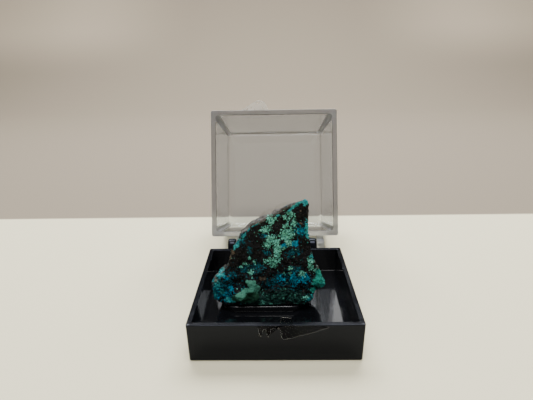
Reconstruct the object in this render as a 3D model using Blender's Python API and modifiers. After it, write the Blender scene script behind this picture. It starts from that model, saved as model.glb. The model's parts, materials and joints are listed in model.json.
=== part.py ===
"""A chrysocolla specimen standing on a pad of black putty in a small hinged display box.

The box has a black tray and a clear lid, which stands open. Everything is in metres, +Z up, with
the origin at the middle of the tray's underside. The tray's front faces -Y and its hinge is at +Y.
Run it with: blender --background --python part.py
"""

from math import pi, radians, tan

import bmesh
import bpy
from mathutils import Matrix, Vector

MM = 0.001

# Driving dimensions of the box, in millimetres
BOX_SIDE = 32.0
TRAY_HEIGHT = 7.7
TRAY_WALL = 1.0
TRAY_FLOOR_TOP = 2.05
TRAY_DRAFT = 0.18
TRAY_CORNER_RADIUS = 0.38
TRAY_BOTTOM_RADIUS = 0.3
TRAY_INNER_CORNER_RADIUS = 0.35
TRAY_INNER_RADIUS = 0.25
RIM_EDGE = 0.1

LID_DEPTH = 27.6
LID_WALL = 1.2
LID_DRAFT = 0.4
LID_CORNER_RADIUS = 0.5
LID_TOP_RADIUS = 0.45
LID_INNER_CORNER_RADIUS = 0.9
LID_INNER_RADIUS = 0.85
CLOSED_GAP = 0.15

# The hinge: two black lugs on the tray, each with a bore, and two clear knuckles on the lid, each with
# a pin that points to -X into its lug
HINGE_BEHIND_WALL = 2.4
HINGE_BELOW_RIM = 0.5
OPEN_ANGLE = 109.0
LUG_RADIUS = 1.9
LUG_WIDTH = 2.0
LUG_EDGE_RADIUS = 0.5
WEB_INSET = 0.1
LUG_CENTRES_X = (-10.75, 9.35)
PIN_RADIUS = 0.7
PIN_SHORT_OF_FACE = 0.25
KNUCKLE_RADIUS = 1.65
KNUCKLE_WIDTH = 1.75
KNUCKLE_SIDE_GAP = 0.15
BORE_RADIUS = 0.8
ARM_HEIGHT = 1.5
ARM_INSET = 0.05
ARM_ABOVE_RIM = 0.02
HEEL_THICKNESS = 1.3
STOP_GAP = 0.06

# Pieces that rest on each other keep this gap
REST_GAP = 0.3

# The putty pad under the stone
PAD_LEFT, PAD_RIGHT = -11.0, 6.0
PAD_FRONT, PAD_BACK = -3.2, 5.2
PAD_TOP = 3.25
PAD_CORNER_RADIUS = 3.0
PAD_EDGE_RADIUS = 0.4

# The stone: its front face leans back, and it thins towards a ridge along its top
STONE_SEAT = PAD_TOP + REST_GAP
FACE_FOOT_Y = -3.0
FACE_FOOT_Z = 3.3
FACE_LEAN = 12.0
FACE_OUTLINE = (
    (6.3, 24.85), (6.8, 24.5), (6.95, 23.0), (6.95, 20.6), (6.8, 18.0), (7.1, 16.6),
    (7.7, 13.6), (8.9, 11.4), (9.1, 10.0), (9.6, 8.9), (10.5, 7.5), (10.1, 7.0),
    (8.2, 6.6), (7.6, 5.2), (7.3, 4.0), (5.8, 3.2), (2.9, 2.7), (-2.7, 2.7), (-8.2, 3.0),
    (-10.6, 3.7), (-12.0, 4.3), (-12.6, 5.2), (-12.9, 7.1), (-12.5, 8.6), (-11.8, 9.4),
    (-9.8, 11.5), (-9.2, 13.0), (-8.7, 14.8), (-7.25, 17.1), (-6.5, 18.1), (-5.4, 18.8),
    (-4.5, 19.9), (-3.3, 20.5), (-1.6, 21.3), (0.5, 22.3), (2.2, 23.4), (4.4, 24.4),
)
STONE_CENTRE_X = -1.5
SHOULDER_BACK_FOOT = 4.4
SHOULDER_BACK_TOP = 2.2
SHOULDER_DROP = 0.5
SHOULDER_SCALE = 0.985
BACK_SCALE = 0.8
BACK_HEIGHT_SCALE = 0.66
BACK_DEPTH_TOP = 4.6
BACK_DEPTH_FOOT = 9.3
STONE_VOXEL = 0.4
STONE_TRIANGLES_SHARE = 0.34

# Lumps on the stone: (x, z, how far proud of the face, half sizes along x, y and z, turn in degrees)
MINT_LUMP = (
    (-5.0, 8.0, 0.2, 1.15, 1.0, 1.3, 0),
    (-5.1, 6.7, 0.35, 1.6, 1.15, 1.1, 30),
    (-6.8, 5.6, 0.35, 1.9, 1.1, 1.0, 20),
    (-4.6, 5.3, 0.2, 1.5, 1.0, 0.9, -10),
)
FACE_LUMPS = (
    (-11.0, 7.6, -0.5, 1.6, 1.3, 2.4, 10),
    (-11.2, 5.5, -0.6, 1.3, 1.2, 1.2, 0),
    (8.6, 8.2, -0.6, 1.5, 1.5, 1.2, -40),
    (7.2, 12.3, -0.5, 1.0, 1.0, 1.5, 20),
    (6.6, 5.0, -0.5, 1.3, 1.0, 0.8, 15),
    (4.2, 8.7, -0.7, 1.8, 1.2, 2.2, 0),
    (0.6, 15.6, -0.6, 1.5, 0.9, 2.0, -25),
    (2.9, 18.4, -0.7, 1.5, 1.0, 1.9, 15),
    (-0.6, 12.6, -0.7, 1.6, 1.0, 1.2, 0),
    (-7.6, 14.0, -0.7, 1.3, 1.2, 2.4, -25),
    (5.0, 22.0, -0.8, 1.4, 1.1, 2.2, 0),
)
# Pits in the face, given in the same way
FACE_PITS = (
    (-2.2, 16.4, 0.5, 1.0, 1.0, 1.6, 10),
    (-2.4, 6.6, 0.4, 0.7, 1.0, 1.6, 5),
    (5.8, 6.7, 0.3, 1.6, 1.0, 0.8, 10),
    (-5.3, 11.2, 0.4, 1.6, 0.9, 0.9, -30),
    (1.6, 10.6, 0.4, 1.5, 0.8, 0.7, 15),
    (5.6, 15.6, 0.4, 1.2, 0.8, 1.3, 0),
)

# Torn strips of clear sealing tape, one on the tray's front and one on the lid's front wall
TAPE_THICKNESS = 0.15
FRONT_TAPE_OUTLINE = (
    (0.95, 9.3), (2.85, 9.3), (2.9, 7.6), (9.4, 7.4), (5.9, 5.9), (1.6, 4.8), (0.95, 5.2),
    (0.7, 7.0), (-0.8, 7.1), (-1.1, 5.3), (-1.7, 7.0), (-2.5, 5.2), (-3.0, 7.2), (-3.4, 7.6),
    (0.8, 7.6),
)
LID_TAPE_OUTLINE = (
    (-8.4, 0.5), (-1.2, 0.5), (-1.0, 3.6), (-2.6, 5.2), (-4.6, 4.4), (-6.6, 5.4), (-8.2, 4.0),
)
TAPE_FLAP_LEFT, TAPE_FLAP_RIGHT = -8.4, -1.4
TAPE_FLAP_PEAK_X = -3.0
TAPE_FLAP_REACH = 2.5
TAPE_FLAP_ROOT = 0.6
TAPE_FLAP_TILT = 82.0

ROUND_SEGMENTS = 32
NEAR = 1e-4
HELPERS = "cutters"


def clear_scene():
    for obj in list(bpy.data.objects):
        bpy.data.objects.remove(obj)


def new_collection(name):
    found = bpy.data.collections.new(name)
    bpy.context.scene.collection.children.link(found)
    return found


def finish_of(name, colour, roughness, transmission=0.0, ior=1.5):
    """A Principled BSDF in a material of that name."""
    material = bpy.data.materials.new(name)
    material.use_nodes = True
    shader = material.node_tree.nodes["Principled BSDF"]
    shader.inputs["Base Color"].default_value = (*colour, 1.0)
    shader.inputs["Roughness"].default_value = roughness
    shader.inputs["Metallic"].default_value = 0.0
    shader.inputs["Transmission Weight"].default_value = transmission
    shader.inputs["IOR"].default_value = ior
    return material


def object_from(bm, name, collection, material=None, parent=None):
    """A new object with that bmesh, whose sizes are in millimetres."""
    bmesh.ops.scale(bm, vec=(MM, MM, MM), verts=bm.verts)
    bmesh.ops.recalc_face_normals(bm, faces=bm.faces)
    mesh = bpy.data.meshes.new(name)
    bm.to_mesh(mesh)
    bm.free()
    obj = bpy.data.objects.new(name, mesh)
    collection.objects.link(obj)
    obj.parent = parent
    if material:
        mesh.materials.append(material)
    return obj


def helper_from(bm, name, parent=None):
    """An object that is only used by Boolean modifiers."""
    obj = object_from(bm, name, bpy.data.collections[HELPERS], parent=parent)
    obj.hide_render = True
    obj.display_type = "WIRE"
    return obj


def boolean(obj, other, operation):
    modifier = obj.modifiers.new(other.name, "BOOLEAN")
    modifier.object = other
    modifier.operation = operation
    modifier.solver = "EXACT"


def block(low, high):
    """A bmesh box between two corners."""
    bm = bmesh.new()
    bmesh.ops.create_cube(bm, size=1.0)
    low, high = Vector(low), Vector(high)
    bmesh.ops.scale(bm, vec=high - low, verts=bm.verts)
    bmesh.ops.translate(bm, vec=(low + high) / 2, verts=bm.verts)
    return bm


def add_rod_x(bm, centre, radius, length, segments=ROUND_SEGMENTS):
    """Adds a closed cylinder that lies along X, with its middle at centre."""
    place = Matrix.Translation(centre) @ Matrix.Rotation(pi / 2, 4, "Y")
    bmesh.ops.create_cone(
        bm, cap_ends=True, segments=segments, radius1=radius, radius2=radius, depth=length, matrix=place
    )


def rod_x(centre, radius, length):
    bm = bmesh.new()
    add_rod_x(bm, centre, radius, length)
    return bm


def edges_at_height(bm, height):
    return [e for e in bm.edges if all(abs(v.co.z - height) < NEAR for v in e.verts)]


def round_edges(bm, edges, radius, segments):
    bmesh.ops.bevel(
        bm, geom=edges, offset=radius, segments=segments, profile=0.5, affect="EDGES", clamp_overlap=True
    )


def cap_edges(bm):
    """The edges round the two flat ends of a rod along X."""
    return [e for e in bm.edges if abs(e.verts[0].co.x - e.verts[1].co.x) < NEAR]


def add_tapered_block(bm, half_low, half_high, low, high, corner_radius, foot_radius):
    """Adds a square block about Z with those half widths at its ends, and a rounded foot and corners."""
    made = bmesh.ops.create_cube(bm, size=2.0)["verts"]
    for vert in made:
        half, height = (half_low, low) if vert.co.z < 0 else (half_high, high)
        vert.co = Vector((vert.co.x * half, vert.co.y * half, height))
    edges = {e for vert in made for e in vert.link_edges}
    uprights = [e for e in edges if abs(e.verts[0].co.z - e.verts[1].co.z) > NEAR]
    round_edges(bm, uprights, corner_radius, 4)
    round_edges(bm, edges_at_height(bm, low), foot_radius, 3)


def open_box(side, height, draft, wall, floor_top, corners, feet):
    """A square box, open on top, whose floor end is narrower by draft on each side.

    corners and feet are its radii at the uprights and round the floor, outside and then inside.
    """
    bm = bmesh.new()
    inner_floor = side / 2 - wall - draft * (1 - floor_top / height)
    add_tapered_block(bm, side / 2 - draft, side / 2, 0, height, corners[0], feet[0])
    outside = set(bm.faces)
    add_tapered_block(bm, inner_floor, side / 2 - wall, floor_top, height, corners[1], feet[1])
    bmesh.ops.reverse_faces(bm, faces=[face for face in bm.faces if face not in outside])
    rim = edges_at_height(bm, height)
    lids = [face for face in bm.faces if all(abs(v.co.z - height) < NEAR for v in face.verts)]
    bmesh.ops.delete(bm, geom=lids, context="FACES_ONLY")
    bmesh.ops.bridge_loops(bm, edges=rim)
    bmesh.ops.recalc_face_normals(bm, faces=bm.faces)
    round_edges(bm, rim, RIM_EDGE, 2)
    return bm


def hinge_axis():
    """The middle of the hinge's axis."""
    return Vector((0, BOX_SIDE / 2 + HINGE_BEHIND_WALL, TRAY_HEIGHT - HINGE_BELOW_RIM))


def make_tray(collection, material):
    """The black tray, with its two bored hinge lugs moulded on."""
    corners = (TRAY_CORNER_RADIUS, TRAY_INNER_CORNER_RADIUS)
    feet = (TRAY_BOTTOM_RADIUS, TRAY_INNER_RADIUS)
    bm = open_box(BOX_SIDE, TRAY_HEIGHT, TRAY_DRAFT, TRAY_WALL, TRAY_FLOOR_TOP, corners, feet)
    tray = object_from(bm, "tray", collection, material)
    axis = hinge_axis()
    wall_y = BOX_SIDE / 2
    for number, x in enumerate(LUG_CENTRES_X, start=1):
        half = LUG_WIDTH / 2
        centre = Vector((x, axis.y, axis.z))
        lug = rod_x(centre, LUG_RADIUS, LUG_WIDTH)
        round_edges(lug, cap_edges(lug), LUG_EDGE_RADIUS, 3)
        boolean(tray, helper_from(lug, f"lug_disc_{number}"), "UNION")
        web = block(
            (x - half + WEB_INSET, wall_y - TRAY_WALL / 2, axis.z - LUG_RADIUS * 0.9),
            (x + half - WEB_INSET, axis.y, axis.z - LUG_RADIUS * 0.1),
        )
        boolean(tray, helper_from(web, f"lug_web_{number}"), "UNION")
        bore = rod_x(centre, BORE_RADIUS, LUG_WIDTH * 2)
        boolean(tray, helper_from(bore, f"lug_bore_{number}"), "DIFFERENCE")
    return tray


def make_lid(collection, material, axis_empty):
    """The clear lid. Its mesh is written closed, about the hinge's axis, and axis_empty opens it."""
    axis = hinge_axis()
    corners = (LID_CORNER_RADIUS, LID_INNER_CORNER_RADIUS)
    feet = (LID_TOP_RADIUS, LID_INNER_RADIUS)
    bm = open_box(BOX_SIDE, LID_DEPTH, LID_DRAFT, LID_WALL, LID_WALL, corners, feet)
    bmesh.ops.rotate(bm, matrix=Matrix.Rotation(pi, 3, "Y"), verts=bm.verts)
    rim_height = TRAY_HEIGHT + CLOSED_GAP
    lift = Vector((0, 0, rim_height + LID_DEPTH)) - axis
    bmesh.ops.translate(bm, vec=lift, verts=bm.verts)
    lid = object_from(bm, "lid", collection, material, axis_empty)
    wall_y = -HINGE_BEHIND_WALL
    arm_low = rim_height - axis.z
    turn = Matrix.Rotation(radians(OPEN_ANGLE), 3, "X")
    for number, lug_x in enumerate(LUG_CENTRES_X, start=1):
        low_x = lug_x + LUG_WIDTH / 2 + KNUCKLE_SIDE_GAP
        high_x = low_x + KNUCKLE_WIDTH
        middle = Vector(((low_x + high_x) / 2, 0, 0))
        disc = rod_x(middle, KNUCKLE_RADIUS, KNUCKLE_WIDTH)
        boolean(lid, helper_from(disc, f"knuckle_disc_{number}", axis_empty), "UNION")
        arm = block(
            (low_x + ARM_INSET, wall_y - LID_WALL / 2, arm_low + ARM_ABOVE_RIM),
            (high_x - ARM_INSET, 0, arm_low + ARM_HEIGHT),
        )
        boolean(lid, helper_from(arm, f"knuckle_arm_{number}", axis_empty), "UNION")
        # The heel meets the tray's back wall when the lid is fully open, so it is laid out open
        heel = block(
            (low_x + WEB_INSET, STOP_GAP - HINGE_BEHIND_WALL, -KNUCKLE_RADIUS),
            (high_x - WEB_INSET, 0, -KNUCKLE_RADIUS + HEEL_THICKNESS),
        )
        bmesh.ops.rotate(heel, matrix=turn, verts=heel.verts)
        boolean(lid, helper_from(heel, f"knuckle_heel_{number}", axis_empty), "UNION")
        pin_end = lug_x - LUG_WIDTH / 2 + PIN_SHORT_OF_FACE
        pin = rod_x(Vector(((pin_end + middle.x) / 2, 0, 0)), PIN_RADIUS, middle.x - pin_end)
        boolean(lid, helper_from(pin, f"knuckle_pin_{number}", axis_empty), "UNION")
    return lid


def make_pad(collection, material):
    """The flattened pad of putty that holds the stone up."""
    bm = block((PAD_LEFT, PAD_FRONT, TRAY_FLOOR_TOP + REST_GAP), (PAD_RIGHT, PAD_BACK, PAD_TOP))
    uprights = [e for e in bm.edges if abs(e.verts[0].co.z - e.verts[1].co.z) > NEAR]
    round_edges(bm, uprights, PAD_CORNER_RADIUS, 8)
    round_edges(bm, edges_at_height(bm, PAD_TOP), PAD_EDGE_RADIUS, 3)
    return object_from(bm, "putty_pad", collection, material)


def face_y(z):
    """Where the stone's leaning front face is at that height."""
    return FACE_FOOT_Y + (z - FACE_FOOT_Z) * tan(radians(FACE_LEAN))


def between(at_foot, at_top):
    """A function that gives the value at a share of the stone's height."""
    return lambda share: at_foot + (at_top - at_foot) * share


def stone_ring(bm, across, height, depth_of, drop):
    """One ring of the stone's body: the face's outline scaled, set back and dropped."""
    top = max(z for _, z in FACE_OUTLINE)
    foot = min(z for _, z in FACE_OUTLINE)
    ring = []
    for x, z in FACE_OUTLINE:
        share = (z - foot) / (top - foot)
        new_x = STONE_CENTRE_X + (x - STONE_CENTRE_X) * across
        new_z = foot + (z - foot) * height - drop * share
        ring.append(bm.verts.new((new_x, face_y(z) + depth_of(share), new_z)))
    return ring


def bridge(bm, first, second):
    count = len(first)
    for i in range(count):
        j = (i + 1) % count
        bm.faces.new((first[i], first[j], second[j], second[i]))


def stone_body():
    """A wedge between three rings: the face, the shoulder behind the ridge, and the back."""
    bm = bmesh.new()
    face = stone_ring(bm, 1.0, 1.0, between(0.0, 0.0), 0.0)
    shoulder_depth = between(SHOULDER_BACK_FOOT, SHOULDER_BACK_TOP)
    shoulder = stone_ring(bm, SHOULDER_SCALE, 1.0, shoulder_depth, SHOULDER_DROP)
    back_depth = between(BACK_DEPTH_FOOT, BACK_DEPTH_TOP)
    back = stone_ring(bm, BACK_SCALE, BACK_HEIGHT_SCALE, back_depth, 0.0)
    bridge(bm, face, shoulder)
    bridge(bm, shoulder, back)
    bmesh.ops.triangulate(bm, faces=[bm.faces.new(reversed(face)), bm.faces.new(back)])
    return bm


def add_lump(bm, x, z, proud, half_x, half_y, half_z, turn):
    """Adds an ellipsoid whose middle is proud of the leaning face."""
    place = (
        Matrix.Translation((x, face_y(z) - proud, z))
        @ Matrix.Rotation(radians(turn), 4, "Y")
        @ Matrix.Diagonal((half_x, half_y, half_z, 1.0))
    )
    bmesh.ops.create_icosphere(bm, subdivisions=3, radius=1.0, matrix=place)


def one_skin(stone, name):
    """Joins everything in the mesh into one closed skin."""
    remesh = stone.modifiers.new(name, "REMESH")
    remesh.mode = "VOXEL"
    remesh.voxel_size = STONE_VOXEL * MM


def relief(stone, name, kind, size, strength):
    """Moves the stone's surface in and out by a procedural texture."""
    texture = bpy.data.textures.new(name, kind)
    texture.noise_scale = size * MM
    modifier = stone.modifiers.new(name, "DISPLACE")
    modifier.texture = texture
    modifier.texture_coords = "LOCAL"
    modifier.strength = strength * MM
    modifier.mid_level = 0.5


def make_stone(collection, material):
    """The specimen: one rock, with its crust's lumps and pits grown together with it."""
    bm = stone_body()
    bmesh.ops.recalc_face_normals(bm, faces=bm.faces)
    for lump in MINT_LUMP + FACE_LUMPS:
        add_lump(bm, *lump)
    stone = object_from(bm, "chrysocolla", collection, material)
    one_skin(stone, "lumps joined")
    pits = bmesh.new()
    for pit in FACE_PITS:
        add_lump(pits, *pit)
    boolean(stone, helper_from(pits, "face_pits"), "DIFFERENCE")
    relief(stone, "broad lumps", "CLOUDS", 3.4, 1.0)
    relief(stone, "broken facets", "VORONOI", 2.2, 0.9)
    relief(stone, "small knobs", "CLOUDS", 0.9, 0.45)
    one_skin(stone, "relief joined")
    below = block((-BOX_SIDE, -BOX_SIDE, -BOX_SIDE), (BOX_SIDE, BOX_SIDE, STONE_SEAT))
    boolean(stone, helper_from(below, "below_the_seat"), "DIFFERENCE")
    thin = stone.modifiers.new("fewer faces", "DECIMATE")
    thin.ratio = STONE_TRIANGLES_SHARE
    return stone


def film(outline, place):
    """A thin sheet with that outline, given as (x, z), standing in the plane y = 0, then placed."""
    bm = bmesh.new()
    sheet = bm.faces.new([bm.verts.new((x, 0, z)) for x, z in outline])
    made = bmesh.ops.extrude_face_region(bm, geom=[sheet], use_keep_orig=True)
    moved = [g for g in made["geom"] if isinstance(g, bmesh.types.BMVert)]
    bmesh.ops.translate(bm, vec=(0, -TAPE_THICKNESS, 0), verts=moved)
    bmesh.ops.triangulate(bm, faces=[f for f in bm.faces if len(f.verts) > 4])
    bmesh.ops.transform(bm, matrix=place, verts=bm.verts)
    return bm


def make_front_tape(collection, material):
    """The torn tape that is left on the tray's front wall, standing a little above the rim."""
    place = Matrix.Translation((0, -BOX_SIDE / 2 - REST_GAP, 0))
    return object_from(film(FRONT_TAPE_OUTLINE, place), "front_tape", collection, material)


def make_lid_tape(collection, material, axis_empty):
    """The torn tape on the lid's front wall, with its loose edge curling away from the rim."""
    axis = hinge_axis()
    rim_height = TRAY_HEIGHT + CLOSED_GAP
    front = Vector((0, -BOX_SIDE / 2 - REST_GAP, rim_height)) - axis
    tape = object_from(
        film(LID_TAPE_OUTLINE, Matrix.Translation(front)), "lid_tape", collection, material, axis_empty
    )
    flap_outline = (
        (TAPE_FLAP_LEFT, 0),
        (TAPE_FLAP_RIGHT, 0),
        (TAPE_FLAP_RIGHT - 0.2, TAPE_FLAP_REACH * 0.9),
        (TAPE_FLAP_PEAK_X, TAPE_FLAP_REACH),
    )
    root = front + Vector((0, -TAPE_THICKNESS / 2, TAPE_FLAP_ROOT))
    place = Matrix.Translation(root) @ Matrix.Rotation(radians(TAPE_FLAP_TILT), 4, "X")
    flap = helper_from(film(flap_outline, place), "tape_flap", axis_empty)
    boolean(tape, flap, "UNION")
    return tape


def shade(obj, sharp_degrees):
    obj.data.shade_smooth()
    obj.data.set_sharp_from_angle(angle=radians(sharp_degrees))


def main():
    clear_scene()
    specimen = new_collection("chrysocolla specimen in a display box")
    new_collection(HELPERS).hide_render = True
    black = finish_of("black styrene", (0.012, 0.012, 0.014), 0.25)
    clear = finish_of("clear styrene", (0.97, 0.975, 0.98), 0.03, transmission=1.0, ior=1.59)
    putty = finish_of("black putty", (0.01, 0.01, 0.013), 0.3)
    crust = finish_of("chrysocolla crust", (0.03, 0.2, 0.22), 0.7)
    tape = finish_of("clear tape", (0.95, 0.95, 0.94), 0.12, transmission=1.0, ior=1.47)
    axis_empty = bpy.data.objects.new("lid_axis", None)
    specimen.objects.link(axis_empty)
    axis_empty.location = hinge_axis() * MM
    axis_empty.rotation_euler.x = -radians(OPEN_ANGLE)
    shade(make_tray(specimen, black), 40)
    shade(make_lid(specimen, clear, axis_empty), 40)
    shade(make_pad(specimen, putty), 40)
    shade(make_stone(specimen, crust), 60)
    make_front_tape(specimen, tape)
    make_lid_tape(specimen, tape, axis_empty)


main()
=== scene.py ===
"""The looks of a chrysocolla specimen in a small hinged display box.

The solids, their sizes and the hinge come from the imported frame. This script adds the fine surface of
each piece: the stone's broken crust, the putty, the moulded plastic and the torn sealing tape.
"""

import json
from math import cos, pi, radians, sin, tan

import bmesh
import bpy
import numpy as np
from bpy.props import FloatProperty, FloatVectorProperty, IntProperty, PointerProperty
from bpy.types import Operator, Panel, PropertyGroup
from mathutils import Euler, Matrix, Vector, noise


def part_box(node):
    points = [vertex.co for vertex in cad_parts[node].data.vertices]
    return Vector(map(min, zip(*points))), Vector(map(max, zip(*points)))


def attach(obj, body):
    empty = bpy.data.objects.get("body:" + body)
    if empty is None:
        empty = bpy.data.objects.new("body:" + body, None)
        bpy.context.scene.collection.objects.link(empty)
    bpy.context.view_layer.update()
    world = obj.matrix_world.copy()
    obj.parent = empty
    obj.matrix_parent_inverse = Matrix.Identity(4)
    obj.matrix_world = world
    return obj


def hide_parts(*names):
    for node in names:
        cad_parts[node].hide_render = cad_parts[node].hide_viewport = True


bl_info = {
    "name": "Mineral specimen in a display box",
    "version": (1, 0, 0),
    "blender": (4, 5, 0),
    "location": "3D View > Sidebar > Specimen",
    "description": "Builds the fine surfaces of a boxed chrysocolla specimen around its frame",
    "category": "Add Mesh",
}

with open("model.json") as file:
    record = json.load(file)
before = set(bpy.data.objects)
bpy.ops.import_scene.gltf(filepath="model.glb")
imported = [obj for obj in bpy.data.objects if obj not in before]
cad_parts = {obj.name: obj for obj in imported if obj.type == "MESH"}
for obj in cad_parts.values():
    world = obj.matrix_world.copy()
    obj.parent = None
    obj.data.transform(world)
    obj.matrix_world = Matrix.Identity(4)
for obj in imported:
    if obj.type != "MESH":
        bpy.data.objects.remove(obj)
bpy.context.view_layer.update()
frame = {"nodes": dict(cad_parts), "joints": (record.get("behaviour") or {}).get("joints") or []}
MM = 0.001
NEAR = 1e-4

# What the frame says, in millimetres, in which every shape below is built
HINGE = frame["joints"][0]
AXIS = Vector(HINGE["pos_m"]) / MM
OPEN_ANGLE = radians(HINGE["range_deg"][1])
TRAY_LOW, TRAY_HIGH = (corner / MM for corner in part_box("tray"))
STONE_LOW, STONE_HIGH = (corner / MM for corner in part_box("chrysocolla"))
PUTTY_LOW, PUTTY_HIGH = (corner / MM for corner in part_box("putty_pad"))
BOX_SIDE = TRAY_HIGH.x - TRAY_LOW.x
BOX_HALF = BOX_SIDE / 2

# How the hinge and the rims sit about the hinge's axis, and how the box's edges are eased
RIM_ABOVE_AXIS = 0.5
WALL_BEFORE_AXIS = AXIS.y - BOX_HALF
RIM_HEIGHT = AXIS.z + RIM_ABOVE_AXIS
CLOSED_GAP = 0.15
LUG_CENTRES_X = (-10.75, 9.35)
LUG_WIDTH = 2.0
LUG_RADIUS = 1.9
LUG_EDGE_RADIUS = 0.5
PIN_RADIUS = 0.7
PIN_SHORT_OF_FACE = 0.25
KNUCKLE_RADIUS = 1.65
KNUCKLE_WIDTH = 1.75
KNUCKLE_SIDE_GAP = 0.15
BORE_RADIUS = 0.8
ARM_HEIGHT = 1.5
HEEL_THICKNESS = 1.3
STOP_GAP = 0.06
RIM_EDGE = 0.12
TRAY_DRAFT = 0.18
TRAY_CORNERS = (0.38, 0.35)
TRAY_FEET = (0.3, 0.04)
LID_DRAFT = 0.4
LID_CORNERS = (0.5, 0.9)
LID_FEET = (0.45, 0.85)
EASED_EDGE = 0.12
WEB_INSET = 0.1
WEB_ROOT = 0.5
WEB_BOTTOM = 0.9
WEB_TOP = 0.1
ARM_INSET = 0.05
ARM_ABOVE_RIM = 0.02
HEEL_INSET = 0.1
SHARP_DEGREES = 35
FLAT_AREA = 20

# The lid's matt rim and corners: how matt, and how far inside the walls the corners' haze runs
RIM_MATT = 0.32
CORNER_MATT = 0.28
CORNER_HAZE = (1.6, 1.1)

# The putty's outline and its rounded edge
PUTTY_CORNER = 3.0
PUTTY_EDGE = 0.35
PUTTY_STEPS = 8
PUTTY_WAVE_SIZE = 2.5

# The stone's leaning front face
FACE_FOOT_Y = -3.0
FACE_FOOT_Z = 3.3
FACE_LEAN = radians(12)
FACE_FLATTENING = 0.5
FLATTENED_DEPTHS = (1.9, 0.8)
SKIN_OFFSET = 0.12

# Where the crust ends behind the face, and further behind it round the stone's foot
FRONT_DEPTHS = (2.6, 1.0)
FOOT_WRAP = 1.6
FOOT_HEIGHTS = (13.0, 9.0)
FLECK_HEIGHTS = (12.0, 6.0)

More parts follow.
